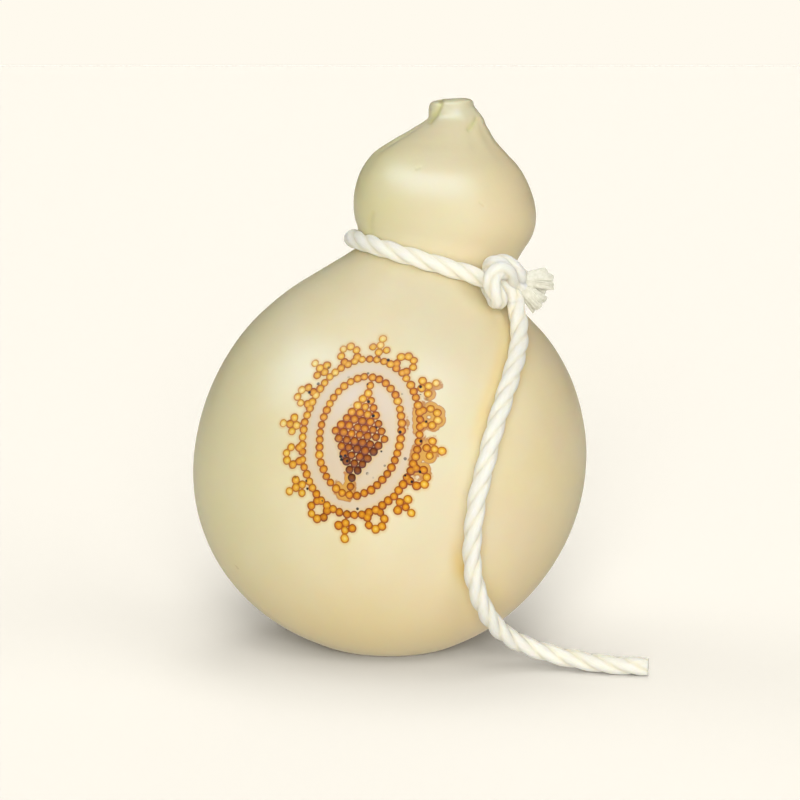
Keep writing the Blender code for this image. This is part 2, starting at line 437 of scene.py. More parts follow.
# ---- Frayed end ------------------------------------------------------------------------------------
# The short end isn't whipped: past the knot its yarns have come untwisted and stand out as two soft
# brushes of fibres with ragged ends. A tuft's rows are x, y, z and its radius, in millimetres.
UPPER_TUFT = (
    (46.8, -29.6, 143.4, 2.4),
    (49.6, -28.2, 143.4, 2.5),
    (52.7, -27.4, 143.5, 3.0),
    (56.0, -27.2, 143.7, 3.6),
    (59.4, -27.2, 143.6, 4.1),
)
LOWER_TUFT = (
    (46.8, -29.4, 143.0, 2.3),
    (49.0, -28.0, 141.0, 2.5),
    (51.3, -27.5, 138.9, 3.0),
    (53.7, -27.4, 136.7, 3.7),
    (56.0, -27.4, 134.8, 4.3),
)
FIBRES = 600
FIBRE_RADIUS = 0.27 * MM
FIBRE_POINTS = 8
FIBRE_WAVE = 0.3 * MM
FIBRE_RAGGED = 0.07
FIBRE_THICKNESS = (0.7, 1.15)
TIP_THICKNESS = 0.45
LOCKS = 9
LOCK_SPREAD = 0.9
LOCK_REACH = (0.84, 1.0)
LOCK_PULL = 0.3
LOCK_CURL = 0.55 * MM
FRAY_SHADE = (0.74, 0.72, 0.60)
FRAY_WHITE = (0.87, 0.85, 0.74)
GOLDEN_ANGLE = math.pi * (3 - math.sqrt(5))


def brush_mesh(name, tufts, seed):
    """Fibres fill each tuft's round section, gather into locks and end at uneven lengths."""
    random = np.random.default_rng(seed)
    curve = bpy.data.curves.new(name, "CURVE")
    curve.dimensions = "3D"
    curve.bevel_depth = FIBRE_RADIUS
    curve.bevel_resolution = 1
    curve.use_fill_caps = True

    def spread(k, count):
        """Place k of so many, spread evenly over a disc of radius 1."""
        share = math.sqrt((k + 0.5) / count)
        return np.array((share * math.cos(k * GOLDEN_ANGLE), share * math.sin(k * GOLDEN_ANGLE)))

    for tuft in tufts:
        rows = np.array(tuft) * MM
        knots = run_along(rows[:, :3])
        ahead = rows[-1, :3] - rows[0, :3]
        side = np.cross(ahead, (0.0, 0.0, 1.0))
        side /= np.linalg.norm(side)
        up = np.cross(side, ahead)
        up /= np.linalg.norm(up)
        locks = np.array([spread(k, LOCKS) for k in range(LOCKS)]) * LOCK_SPREAD
        lock_reach = random.uniform(*LOCK_REACH, LOCKS)
        lock_curl = random.normal(0.0, LOCK_CURL, (LOCKS, 2))
        for k in range(FIBRES):
            start = spread(k, FIBRES)
            lock = int(np.argmin(np.linalg.norm(locks - start, axis=1)))
            reach = knots[-1] * (lock_reach[lock] + FIBRE_RAGGED * random.random())
            places = np.linspace(0.0, reach, FIBRE_POINTS)
            line = smooth_rows(rows, knots, places)
            bend = ((places / knots[-1]) ** 2)[:, None]
            offset = start + (locks[lock] - start) * LOCK_PULL * bend
            offset = offset * line[:, 3:] + (lock_curl[lock] + random.normal(0.0, FIBRE_WAVE, 2)) * bend
            points = line[:, :3] + offset[:, :1] * side + offset[:, 1:] * up
            thick = random.uniform(*FIBRE_THICKNESS)
            spline = curve.splines.new("POLY")
            spline.points.add(FIBRE_POINTS - 1)
            for n, (point, place) in enumerate(zip(spline.points, points)):
                point.co = (*place, 1.0)
                point.radius = thick * (1.0 if n < FIBRE_POINTS - 1 else TIP_THICKNESS)
    carrier = bpy.data.objects.new(name, curve)
    bpy.context.scene.collection.objects.link(carrier)
    bpy.context.view_layer.update()
    mesh = bpy.data.meshes.new_from_object(carrier.evaluated_get(bpy.context.evaluated_depsgraph_get()))
    bpy.data.objects.remove(carrier, do_unlink=True)
    mesh.shade_smooth()
    return mesh


def loose_yarn_finish():
    """The same yarn where it has come apart: paler fibres with grey-white ends."""
    constants = {"Roughness": 0.9, "Specular IOR Level": 0.2}
    made, shade, shader = new_finish("white loose fibres", constants)
    place = shade.node("ShaderNodeTexCoord", {}, {}, output="Object")
    patches = shade.noise(place, 700.0, detail=3.0)
    shade.mix(patches.band(0.3, 0.7), FRAY_SHADE, FRAY_WHITE).into(shader, "Base Color")
    patches.relief_into(shader, 0.3, 0.1 * MM)
    return made


brushes = brush_mesh("rope_frayed_end", (UPPER_TUFT, LOWER_TUFT), seed=11)
frayed = show("rope_frayed_end", brushes, loose_yarn_finish())
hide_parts("neck_rope")


# ---- Cheese ----------------------------------------------------------------------------------------
# One body of stretched curd, kneaded into a gourd by hand: the curd is gathered and pinched off at the
# nub, the rind is thin, waxy and ivory to straw, and an ornament of dots is burnt into the belly.
BELLY_RADIUS = 75.1
BELLY_HEIGHT = 71.0
BELLY_DEPTH = 74.0
BELLY_RINGS = 9
BELLY_LEFT_SAG = 1.2
UPPER_RINGS = (
    (2.0, 0.0, 96.6, 70.6, 2.5, 0.2),
    (5.6, 0.0, 115.0, 61.3, 5.8, 0.7),
    (10.1, 0.0, 128.2, 49.9, 9.5, 1.4),
    (14.1, 0.0, 136.3, 40.0, 13.6, 2.3),
    (15.6, 0.0, 143.2, 31.6, 15.8, 2.8),
    NECK,
    (17.5, 0.2, 152.4, 30.0, 13.6, 3.0),
    (19.0, 0.7, 156.6, 31.6, 9.4, 2.6),
    (20.5, 1.2, 161.4, 33.8, 6.0, 2.2),
    (21.0, 1.7, 168.3, 34.6, 4.3, 1.7),
    (20.4, 2.1, 176.1, 33.0, 1.5, 1.2),
    (19.6, 2.4, 183.1, 29.9, 0.0, 0.6),
    (19.2, 2.6, 189.4, 24.7, 0.0, 0.0),
    (20.6, 2.7, 193.9, 19.4, 0.0, 0.0),
    (23.1, 2.8, 198.4, 14.2, 0.0, 0.0),
    (24.6, 2.8, 202.5, 10.1, 0.0, 0.0),
    (23.4, 2.8, 205.7, 8.7, -2.0, 0.0),
    (23.4, 2.8, 208.2, 8.0, -2.5, 0.0),
    (23.9, 2.8, 209.3, 5.4, -2.5, 0.0),
    (23.9, 2.8, 209.3, 0.0, -2.5, 0.0),
)
CHEESE_COLUMNS = 184
ROW_STEPS = ((125.0, 2.5), (140.0, 1.3), (185.0, 1.3), (194.0, 0.8))
OUTLINE_SAMPLES = 4000
CHEESE_WELD = 0.002 * MM
NUDGE = 1e-4


def cheese_rows():
    """The rings of the cheese from the middle of its resting spot to the top, and how far along."""
    floor_angle = math.acos(BELLY_HEIGHT / BELLY_DEPTH)
    spot = BELLY_RADIUS * math.sin(floor_angle)
    rows = [(0.0, 0.0, 0.0, radius, 0.0, 0.0) for radius in (0.0, spot / 2)]
    for share in np.linspace(0.0, 1.0, BELLY_RINGS):
        angle = floor_angle + share * (math.pi / 2 - floor_angle)
        sag = -BELLY_LEFT_SAG * math.sin(share * math.pi)
        height = BELLY_HEIGHT - BELLY_DEPTH * math.cos(angle)
        rows.append((sag, 0.0, height, BELLY_RADIUS * math.sin(angle), 0.0, 0.0))
    rows.extend(UPPER_RINGS)
    rows = np.array(rows)
    return rows, run_along(rows[:, 2:4])


def cheese_places():
    """Where the grid's rows lie along the outline: ROW_STEPS gives the step at each height, in mm."""
    places = np.linspace(0.0, ring_knots[-1], OUTLINE_SAMPLES)
    heights = np.interp(places, ring_knots, ring_rows[:, 2])
    steps = np.interp(heights, *zip(*ROW_STEPS))
    counted = np.concatenate(([0.0], np.cumsum(np.diff(places) / steps[1:])))
    return places, counted


def cheese_surface(across, up):
    """Points on the smooth body: across runs from the back round by the left, up from 0 to 1."""
    place = np.interp(up * row_counts[-1], row_counts, row_places)
    x, y, z, radius, hang, lift = smooth_rows(ring_rows, ring_knots, place).T
    angle = 2 * math.pi * across
    hang, lift = np.radians(hang), np.radians(lift)
    right, back = -np.sin(angle) * np.maximum(radius, 0.0), np.cos(angle) * np.maximum(radius, 0.0)
    rise = -back * np.sin(lift)
    back = back * np.cos(lift)
    points = (
        x + right * np.cos(hang) + rise * np.sin(hang),
        y + back,
        np.maximum(z - right * np.sin(hang) + rise * np.cos(hang), 0.0),
    )
    return np.stack(points, axis=1) * MM


def cheese_normals(across, up):
    """The outward direction at those places, which is straight up or down at the two ends."""
    round_it = cheese_surface(across + NUDGE, up) - cheese_surface(across - NUDGE, up)
    above, below = np.minimum(up + NUDGE, 1.0), np.maximum(up - NUDGE, 0.0)
    up_it = cheese_surface(across, above) - cheese_surface(across, below)
    normals = np.cross(round_it, up_it)
    size = np.linalg.norm(normals, axis=1)[:, None]
    smallest = 1e-14
    flat = np.where(up[:, None] > 0.5, (0.0, 0.0, 1.0), (0.0, 0.0, -1.0))
    return np.where(size > smallest, normals / np.maximum(size, smallest), flat)


# The ornament, in millimetres on the belly and with burns from 0 to 1. An oval is its half width and
# half height, then the burn of its dots. A smear is across, up and its reach.
ORNAMENT_ACROSS = 0.474
ORNAMENT_HEIGHT = 92.0
ORNAMENT_LEAN = math.radians(8.5)
ORNAMENT_HALF_SIZE = (30.5, 38.0)
ORNAMENT_BACK = 40
FINE_MARGINS = (4.5, 2.0, 0.0)
FIELD_MARGIN = 7.0
CURVE_SAMPLES = 2001
DOT_PITCH = 2.72
PACKED_PITCH = 2.95
DOT_RADIUS = 1.42
DOT_DEPTH = 0.36
DOT_SHALLOWEST = 0.45
DOT_WALL = 0.42
DOT_SHIFT = 0.09
DOT_UNEVEN = (0.92, 1.06)
LIP_PLACE = 1.12
LIP_WIDTH = 0.16
LIP_HEIGHT = 0.06
LOZENGE_HALF = 6
LOZENGE_BURN = 0.64
LOZENGE_BURN_STEP = 0.055
STEM_HEIGHT = 18.4
STEM_TOP_BURN = 0.5
STEM_FOOT_BURN = 0.62
OVALS = (((14.6, 21.5), 0.46), ((21.0, 28.3), 0.42))
BAND_HALF_SIZE = (24.3, 31.6)
MOTIFS = 16
PETALS = 7
PETAL_REACH = 3.12
PETAL_BURN = 0.38
PETAL_BURN_FALL = 0.16
CROSS = ((-0.4, 0.0), (2.3, 0.0), (5.0, 0.0), (1.0, -2.6), (1.0, 2.6))
CROSS_BURN = 0.36
CROSS_BURN_FALL = 0.05
BURN_ACROSS = 0.06 / 30
BURN_UP = 0.12 / 38
BURN_UNEVEN = 0.07
LEAST_BURN = 0.05
SCORCH_REACH = 3.0
PLATE_HALF_SIZE = (24.5, 32.0)
PLATE_FADE = 0.14
SMEARS = ((26.0, 15.0, 6.0), (23.5, -4.0, 4.6), (19.0, 9.0, 3.4), (-2.0, -19.5, 3.6))
SMEAR_STRETCH = 1.5
MELT_REACH = 3.0
MELT_FADE = 0.9
NO_DOT = 9.0
FAR_AWAY = 99.0


def around_oval(half_size, count):
    """Evenly spaced places round an oval: each is a point and the outward direction there."""
    fine = np.linspace(0.0, 2 * math.pi, CURVE_SAMPLES)
    run = run_along(np.stack([half_size[0] * np.sin(fine), half_size[1] * np.cos(fine)], axis=1))
    for k in range(count):
        turn = np.interp(k / count * run[-1], run, fine)
        point = np.array((half_size[0] * math.sin(turn), half_size[1] * math.cos(turn)))
        out = np.array((math.sin(turn) / half_size[0], math.cos(turn) / half_size[1]))
        yield point, out / np.linalg.norm(out)


def ornament_dots():
    """Rows of across, up, radius and burn: a lozenge in two ovals, with a band of motifs round them."""
    random = np.random.default_rng(5)
    dots = []
    half_rise = PACKED_PITCH * math.sqrt(0.75)
    for row in range(-LOZENGE_HALF, LOZENGE_HALF + 1):
        beads = LOZENGE_HALF + 1 - abs(row)
        for k in range(beads):
            burn = LOZENGE_BURN - LOZENGE_BURN_STEP * row
            dots.append(((k - (beads - 1) / 2) * PACKED_PITCH, row * half_rise, burn))
    dots.append((0.0, STEM_HEIGHT, STEM_TOP_BURN))
    dots.append((0.0, -STEM_HEIGHT, STEM_FOOT_BURN))

    for half_size, burn in OVALS:
        perimeter = 2 * math.pi * math.sqrt((half_size[0] ** 2 + half_size[1] ** 2) / 2)
        for point, _ in around_oval(half_size, round(perimeter / DOT_PITCH)):
            dots.append((*point, burn))

    for k, (point, out) in enumerate(around_oval(BAND_HALF_SIZE, MOTIFS)):
        aside = np.array((out[1], -out[0]))
        if k % 2:
            for petal in range(PETALS - 1):
                angle = 2 * math.pi * (petal + 1) / PETALS - math.pi
                reach = PETAL_REACH * (math.cos(angle) * out + math.sin(angle) * aside)
                dots.append((*(point + reach), PETAL_BURN - PETAL_BURN_FALL * math.cos(angle)))
        else:
            for away, sideways in CROSS:
                place = point + away * out + sideways * aside
                dots.append((*place, CROSS_BURN - CROSS_BURN_FALL * away))

    rows = []
    for across, up, burn in dots:
        shift = random.normal(0.0, DOT_SHIFT, 2)
        burn += BURN_ACROSS * across - BURN_UP * up + random.normal(0.0, BURN_UNEVEN)
        radius = DOT_RADIUS * random.uniform(*DOT_UNEVEN)
        rows.append((across + shift[0], up + shift[1], radius, min(max(burn, LEAST_BURN), 1.0)))
    return np.array(rows)


def ornament_frame():
    """The ornament's middle on the belly, and its axes: to the right, up and outward."""
    ups = np.linspace(0.0, 1.0, CURVE_SAMPLES)
    front = cheese_surface(np.full(CURVE_SAMPLES, ORNAMENT_ACROSS), ups)
    up = np.interp(ORNAMENT_HEIGHT * MM, front[:, 2], ups)
    place = np.array([ORNAMENT_ACROSS]), np.array([up])
    out = Vector(cheese_normals(*place)[0])
    right = out.cross(Vector((0.0, 0.0, -1.0))).normalized()
    right = Matrix.Rotation(-ORNAMENT_LEAN, 3, out) @ right
    return cheese_surface(*place)[0], np.array(right), np.array(out.cross(right)), np.array(out)


def on_ornament(points):
    """Where points lie on the ornament, in millimetres: to the right, up, and behind its middle."""
    middle, right, up, out = ornament_axes
    away = (points - middle) / MM
    return away @ right, away @ up, -(away @ out)


def near_ornament(points, margin):
    """Which points lie in the ornament's oval, or that far outside it."""
    across, up, behind = on_ornament(points)
    across, up = (away / (half + margin) for away, half in zip((across, up), ORNAMENT_HALF_SIZE))
    return (across**2 + up**2 < 1) & (behind < ORNAMENT_BACK)


LUMP_RELIEF = 0.35
LUMP_FADE = 36
LUMP_TOP = 212


def eased(share):
    """A share from 0 to 1 that starts and ends gently."""
    share = np.clip(share, 0.0, 1.0)
    return share * share * (3 - 2 * share)


def lumps(points):
    """Slow unevenness of a body shaped by hand, from -1 to 1: waves of 13 to 31 mm a radian."""
    x, y, z = (points / MM).T
    wide = np.sin(x / 17 + z / 23 + 1.3) * np.cos(y / 19 - z / 31)
    narrow = np.sin(y / 13 + x / 29 + 0.4) * np.cos(z / 17 + 2.0)
    return (wide + narrow) / 2 * eased(z / LUMP_FADE) * eased((LUMP_TOP - z) / LUMP_FADE)


# Folds: a pleat is the angle from the front to the right in degrees, depth in mm, the height where
# it starts and its half width in degrees, and a nub's fold is its angle, depth and half width. A
# crease is a line of x and z as seen from the front, then its depth and half width, all in mm.
PLEATS = (
    (34, 0.3, 170, 8.0),
    (58, 0.35, 172, 8.0),
    (-72, 0.6, 172, 7.0),
    (-104, 0.7, 168, 6.5),
    (-131, 0.5, 176, 8.0),
    (-160, 0.7, 170, 6.0),
    (172, 0.5, 178, 7.0),
    (141, 0.7, 166, 6.5),
    (116, 0.5, 174, 7.5),
    (86, 0.65, 170, 7.0),
)
PLEAT_RISE = 22
PLEAT_END = (204, 196)
NUB_FOLDS = ((118, 0.5, 13.0), (178, 0.6, 14.0), (-112, 0.6, 13.0))
NUB_TURN = 1.6
NUB_MIDDLE = 204
NUB_START = (197.5, 202.5)
NUB_END = (210.5, 207.5)
NUB_RADIUS = 5.0
HEAD_MIDDLES = ((165.0, 21.0), (190.0, 19.4), (203.0, 24.2), (209.0, 23.8))
HEAD_MIDDLE_BACK = 2.2
CREASES = (
    (((19.6, 211.0), (18.9, 206.8), (17.4, 203.9), (15.2, 201.2)), 0.75, 1.0),
    (((32.6, 202.0), (31.2, 199.8), (29.8, 198.4)), 0.5, 0.9),
    (((-6.5, 167.5), (-7.2, 163.5), (-6.8, 159.5)), 0.32, 1.0),
    (((10.2, 184.3), (11.3, 184.9)), 0.12, 0.6),
    (((33.4, 172.1), (34.9, 171.0)), 0.2, 0.5),
    (((32.4, 205.0), (35.2, 201.6)), -0.45, 1.5),
)
CREASE_REACH = 2.6
CREASE_BACK = 6.0


def part_way(values, start, end):
    """How far values are on their way from start to end: 0 before it, 1 past it."""
    return np.clip((values - start) / (end - start), 0.0, 1.0)


def crease_distance(points, crease):
    """How far points on the front are from a crease, seen from the front, in millimetres."""
    seen = points[:, (0, 2)] / MM
    nearest = np.full(len(points), FAR_AWAY)
    for start, end in zip(crease[:-1], crease[1:]):
        start, way = np.array(start), np.array(end) - np.array(start)
        share = np.clip(((seen - start) @ way) / (way @ way), 0.0, 1.0)
        nearest = np.minimum(nearest, np.linalg.norm(seen - start - share[:, None] * way, axis=1))
    return np.where(points[:, 1] < CREASE_BACK * MM, nearest, FAR_AWAY)


def crease_shade_tint(points):
    """From 0 to 1: how deep in a crease points lie, where painted shade makes the rind darker and more
    olive.
    """
    tint = np.zeros(len(points))
    for crease, depth, width in CREASES:
        tint = np.maximum(tint, depth * np.exp(-((crease_distance(points, crease) / width) ** 2)))
    return tint


def pleat_relief(points):
    """Folds where the curd is gathered: shallow ones down the head, a few deeper ones in the nub."""
    x, y, z = (points / MM).T
    x, y = x - np.interp(z, *zip(*HEAD_MIDDLES)), y - HEAD_MIDDLE_BACK
    turn = np.degrees(np.arctan2(x, -y))
    relief = np.zeros(len(z))
    for angle, depth, lowest, width in PLEATS:
        off = (turn - angle + 180) % 360 - 180
        fade = part_way(z, lowest, lowest + PLEAT_RISE) ** 1.5 * part_way(z, *PLEAT_END)
        relief -= depth * fade * np.exp(-((off / width) ** 2))
    for angle, depth, width in NUB_FOLDS:
        off = (turn - angle - (z - NUB_MIDDLE) * NUB_TURN + 180) % 360 - 180
        fade = part_way(z, *NUB_START) * part_way(z, *NUB_END) * part_way(np.hypot(x, y), 0.0, NUB_RADIUS)
        relief -= depth * fade * np.exp(-((off / width) ** 2))
    for crease, depth, width in CREASES:
        relief -= depth * np.exp(-((crease_distance(points, crease) / width) ** 2))
    return relief


def dot_fields(points):
    """Layers of the ornament: how far out of a dot in radii, its burn, the scorch, plate and smears."""
    across, up, _ = on_ornament(points)
    near = near_ornament(points, FIELD_MARGIN)
    across, up = across[near], up[near]
    fields = {key: np.zeros(len(points)) for key in ("dot_burn", "scorch", "plate", "smear")}
    fields["dot_edge"] = np.full(len(points), NO_DOT)
    edge, closest = np.full(len(up), NO_DOT), np.full(len(up), FAR_AWAY)
    burn, scorch, smear = np.zeros(len(up)), np.zeros(len(up)), np.zeros(len(up))
    for dot_across, dot_up, radius, dot_burn in ornament_dots():
        away = np.hypot(across - dot_across, up - dot_up)
        burn = np.where(away / radius < edge, dot_burn, burn)
        edge = np.minimum(edge, away / radius)
        closest = np.minimum(closest, away)
        scorch += dot_burn * np.exp(-((away / SCORCH_REACH) ** 2))
    for smear_across, smear_up, reach in SMEARS:
        away = np.hypot(across - smear_across, (up - smear_up) / SMEAR_STRETCH)
        smear = np.maximum(smear, np.exp(-((away / reach) ** 4)))
    smear *= part_way(closest, MELT_REACH, MELT_REACH - MELT_FADE)
    inward = 1.0 - np.hypot(across / PLATE_HALF_SIZE[0], up / PLATE_HALF_SIZE[1])
    for key, values in (("dot_edge", edge), ("dot_burn", burn), ("scorch", scorch), ("smear", smear)):
        fields[key][near] = values
    fields["plate"][near] = eased(inward / PLATE_FADE)
    return fields


# How far from the rope's skin its painted shadow reaches.
ROPE_SHADOW_REACH = 9.0 * MM


def painted_rope_shadow(points):
    """From 0 to 1: how close the rope lies, where the rind is painted deeper yellow as the rope's shadow.
    """
    tree = KDTree(len(rope_points))
    for n, point in enumerate(rope_points):
        tree.insert(point, n)
    tree.balance()
    away = np.array([tree.find(point)[2] for point in points])
    return np.clip(1 - (away - ROPE_RADIUS) / ROPE_SHADOW_REACH, 0.0, 1.0) ** 2


def cheese_mesh(name):
    """A flat grid, made finer where the ornament goes, is wrapped round the body and then pressed."""
    rows = round(row_counts[-1])
    bm = bmesh.new()
    bmesh.ops.create_grid(bm, x_segments=CHEESE_COLUMNS, y_segments=rows, size=0.5)
    for margin in FINE_MARGINS:
        middles = np.array([face.calc_center_median() for face in bm.faces]) + 0.5
        places = cheese_surface(middles[:, 0], middles[:, 1])
        fine = near_ornament(places, margin)
        if margin > 0.0:
            for crease, _, _ in CREASES:
                fine |= crease_distance(places, crease) < CREASE_REACH
        edges = {edge for face, wanted in zip(bm.faces, fine) if wanted for edge in face.edges}
        bmesh.ops.subdivide_edges(bm, edges=list(edges), cuts=1, use_grid_fill=True)
    flat = np.array([vert.co for vert in bm.verts]) + 0.5
    points = cheese_surface(flat[:, 0], flat[:, 1])
    normals = cheese_normals(flat[:, 0], flat[:, 1])
    fields = dot_fields(points)
    # The rope's painted shadow on the rind.
    fields["rope_shadow"] = painted_rope_shadow(points)
    # How much painted shade each point gets from the creases.
    fields["crease"] = crease_shade_tint(points)
    pit = eased((1.0 - fields["dot_edge"]) / DOT_WALL)
    depth = DOT_DEPTH * (DOT_SHALLOWEST + (1 - DOT_SHALLOWEST) * fields["dot_burn"])
    lip = np.exp(-(((fields["dot_edge"] - LIP_PLACE) / LIP_WIDTH) ** 2))
    relief = LUMP_RELIEF * lumps(points) + pleat_relief(points) + LIP_HEIGHT * lip - depth * pit
    points += normals * relief[:, None] * MM
    points[:, 2] = np.maximum(points[:, 2], 0.0)
    layers = {key: bm.verts.layers.float.new(key) for key in fields}
    for n, vert in enumerate(bm.verts):
        vert.co = points[n]
        for key, layer in layers.items():
            vert[layer] = fields[key][n]
    return closed_skin(name, bm, CHEESE_WELD)


HEAD_HEIGHTS = (135 * MM, 170 * MM)
HEAD_ASIDE = 21 * MM
HEAD_HALF_WIDTH = 34 * MM
BELLY_HALF_WIDTH = 75 * MM
NUB_HEIGHTS = (198 * MM, 206 * MM)
FOOT_HEIGHTS = (60 * MM, 0.0)
PALER_HEIGHTS = (30 * MM, 60 * MM)
UPPER_ROPE_SHADOW_FOOT = (80 * MM, 100 * MM)
UPPER_ROPE_SHADOW_TOP = (135 * MM, 115 * MM)
LOWER_ROPE_SHADOW_TOP = (60 * MM, 35 * MM)
RIND_ROUGHNESS = 0.31
MOTTLED_ROUGHNESS = 0.14
BURNT_ROUGHNESS = 0.3
RIND_RELIEF = 0.3 * MM
CRUMBS_PICKED = 0.78
STRAW = (0.83, 0.73, 0.455)
IVORY = (0.86, 0.77, 0.52)
PALE_CLOUDS = (0.87, 0.79, 0.60)
HEAD_STRAW = (0.765, 0.69, 0.45)
FRONT_IVORY = (0.79, 0.73, 0.51)
# Painted cool shade for the left side.
COOL_SHADE_LEFT = (0.79, 0.745, 0.41)
# Painted warm shade for the right side and the foot.
WARM_SHADE_RIGHT_AND_FOOT = (0.87, 0.69, 0.345)
BLUSH = (0.83, 0.66, 0.45)
NUB_STRAW = (0.71, 0.67, 0.46)
# Colour of the painted shade in the creases.
CREASE_SHADE_OLIVE = (0.66, 0.62, 0.22)
# Colour of the rope's painted shadow.
ROPE_SHADOW_YELLOW = (0.82, 0.61, 0.23)
PLATE_PINK = (0.725, 0.59, 0.435)
SCORCH_TAN = (0.66, 0.41, 0.17)
DOT_HALO = (0.77, 0.56, 0.22)
MELT_DARK = (0.52, 0.20, 0.02)
MELT_AMBER = (0.72, 0.40, 0.07)
SOOT = (0.01, 0.006, 0.004)

# Each dot's colours from hardly burnt to nearly black: in its middle, round that and at its rim.
# The dots' middles are lighter: partly their own colour, partly a painted highlight.
DOT_MIDDLES_AND_GLINTS = (
    (0.93, 0.79, 0.35),
    (0.90, 0.65, 0.12),
    (0.82, 0.41, 0.014),
    (0.58, 0.195, 0.003),
    (0.28, 0.075, 0.002),
)
DOT_FLOORS = (
    (0.88, 0.66, 0.17),
    (0.83, 0.48, 0.025),
    (0.70, 0.27, 0.003),
    (0.45, 0.125, 0.001),
    (0.20, 0.05, 0.001),
)
DOT_RIMS = (
    (0.62, 0.29, 0.02),
    (0.50, 0.165, 0.003),
    (0.33, 0.07, 0.001),
    (0.16, 0.028, 0.0),
    (0.08, 0.014, 0.0),
)


def rind_finish():
    """Waxy, slightly see-through rind, ivory to straw, with amber dots whose rims are darker."""
    constants = {
        "IOR": 1.45,
        "Specular IOR Level": 0.27,
        "Subsurface Weight": 0.4,
        "Subsurface Scale": 4.0 * MM,
        "Subsurface Radius": (1.0, 0.62, 0.28),
    }
    made, shade, shader = new_finish("waxy straw rind", constants)
    place = shade.node("ShaderNodeTexCoord", {}, {}, output="Object")
    sides = shade.node("ShaderNodeSeparateXYZ", {}, {"Vector": place})
    height = sides.output("Z")
    on_head = height.band(*HEAD_HEIGHTS)
    half_width = BELLY_HALF_WIDTH - (BELLY_HALF_WIDTH - HEAD_HALF_WIDTH) * on_head
    aside = (sides - HEAD_ASIDE * on_head) / half_width
    cloud = shade.noise(place, 22.0)
    blush = shade.noise(place, 36.0, detail=1.5)
    mottle = shade.noise(place, 95.0, detail=4.0)
    dimples = shade.noise(place, 240.0, detail=3.0)
    uneven = shade.noise(place, 800.0, detail=3.0)

    body = shade.mix(cloud.band(0.35, 0.65), STRAW, IVORY)
    body = shade.mix(mottle.band(0.35, 0.75) * 0.3, body, PALE_CLOUDS)
    body = shade.mix(on_head * 0.8, body, HEAD_STRAW)
    paler = aside.band(-0.1, 0.25) * aside.band(0.6, 0.35) * height.band(*PALER_HEIGHTS)
    body = shade.mix(paler * (1.0 - on_head) * 0.75, body, FRONT_IVORY)
    # Painted cool shade down the left side, weaker on the head.
    body = shade.mix(aside.band(-0.1, -0.95) * (on_head * 0.25 + 0.55), body, COOL_SHADE_LEFT)
    # Painted warm shade on the right side and towards the foot.
    warm_shade = aside.band(0.0, 1.0) * 0.45 + height.band(*FOOT_HEIGHTS) * 0.95
    body = shade.mix(warm_shade * 0.9, body, WARM_SHADE_RIGHT_AND_FOOT)
    body = shade.mix(blush.band(0.45, 0.7) * aside.band(-0.4, 0.7) * 0.4, body, BLUSH)
    body = shade.mix(height.band(*NUB_HEIGHTS) * 0.9, body, NUB_STRAW)
    # Painted shade in the creases: darker and olive.
    body = shade.mix(shade.attribute("crease") * 0.8, body, CREASE_SHADE_OLIVE)
    # Painted shadow of the rope: the rind turns deeper yellow next to it, faintly between 80 and 135 mm
    # up and fully below 60 mm.
    rope_shadow = shade.attribute("rope_shadow")
    upper = height.band(*UPPER_ROPE_SHADOW_FOOT) * height.band(*UPPER_ROPE_SHADOW_TOP) * 0.4
    rope_shaded = rope_shadow.band(0.06, 0.5) * (upper + height.band(*LOWER_ROPE_SHADOW_TOP))
    body = shade.mix(rope_shaded, body, ROPE_SHADOW_YELLOW)

    edge = shade.attribute("dot_edge") + (uneven - 0.5) * 0.28
    burn = shade.attribute("dot_burn")
    scorch = shade.attribute("scorch")
    body = shade.mix(shade.attribute("plate") * 0.85, body, PLATE_PINK)
    body = shade.mix(scorch.band(0.6, 2.4) * 0.6, body, SCORCH_TAN)
    body = shade.mix(edge.band(1.9, 1.12) * 0.6, body, DOT_HALO)
    melted = shade.attribute("smear") + (uneven - 0.5) * 0.5
    body = shade.mix(melted.band(0.12, 0.3) * 0.85, body, MELT_DARK)
    body = shade.mix(melted.band(0.35, 0.65) * 0.9, body, MELT_AMBER)
    # Dot middles: partly own colour, partly painted highlight.
    dot = shade.mix(edge.band(0.15, 0.6), burn.ramp(DOT_MIDDLES_AND_GLINTS), burn.ramp(DOT_FLOORS))
    dot = shade.mix(edge.band(0.66, 0.86), dot, burn.ramp(DOT_RIMS))
    colour = shade.mix(edge.band(1.14, 1.03), body, dot)
    crumbs = shade.node("ShaderNodeTexVoronoi", {}, {"Vector": place, "Scale": 420.0})
    picked = shade.math("GREATER_THAN", crumbs.output("Color"), CRUMBS_PICKED)
    soot = crumbs.band(0.30, 0.20) * picked * scorch.band(0.3, 0.9)
    shade.mix(soot, colour, SOOT).into(shader, "Base Color")

    roughness = RIND_ROUGHNESS + (mottle - 0.5) * MOTTLED_ROUGHNESS
    (roughness + scorch.band(0.1, 0.7) * BURNT_ROUGHNESS).into(shader, "Roughness")
    grain = dimples * 0.5 + mottle * 0.5 + uneven * edge.band(1.1, 0.95) * 0.6
    grain.relief_into(shader, 0.3, RIND_RELIEF)
    return made


ring_rows, ring_knots = cheese_rows()
row_places, row_counts = cheese_places()
ornament_axes = ornament_frame()
cheese = show("cheese_body", cheese_mesh("cheese_body"), rind_finish())
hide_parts("cheese")


